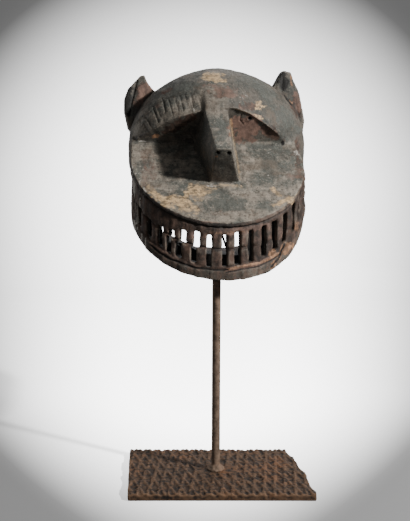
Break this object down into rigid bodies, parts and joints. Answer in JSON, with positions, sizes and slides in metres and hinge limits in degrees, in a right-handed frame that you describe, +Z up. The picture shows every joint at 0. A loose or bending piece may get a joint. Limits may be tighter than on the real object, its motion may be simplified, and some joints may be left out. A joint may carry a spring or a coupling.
{
  "type": "bamana hyena mask on an iron stand",
  "caption": "Carved wooden hyena mask with domed forehead, pointed ears, wedge nose and openwork teeth, standing on an iron rod welded to a tread plate.",
  "frame": {"origin": "on the floor under the middle of the whole", "axes": "+Z up along the rod, the mask faces -Y, +X to its right seen from the front"},
  "size_m": [0.2686, 0.227, 0.581],
  "materials": {
    "carved_wood": "old dark wood with a worn grey-brown skin, adze marks, bare yellow abrasions and a cracked jaw",
    "rod_iron": "round bar with a dull brown rust film and a weld bead at its foot",
    "wire_iron": "thin blackened wire",
    "rusted_tread": "tread plate with crossing ridges, deep brown rust and orange patches"
  },
  "bodies": {
    "root": {"mask": "carved_wood", "stand_rod": "rod_iron", "cradle_wire": "wire_iron", "base_plate": "rusted_tread"}
  },
  "joints": []
}
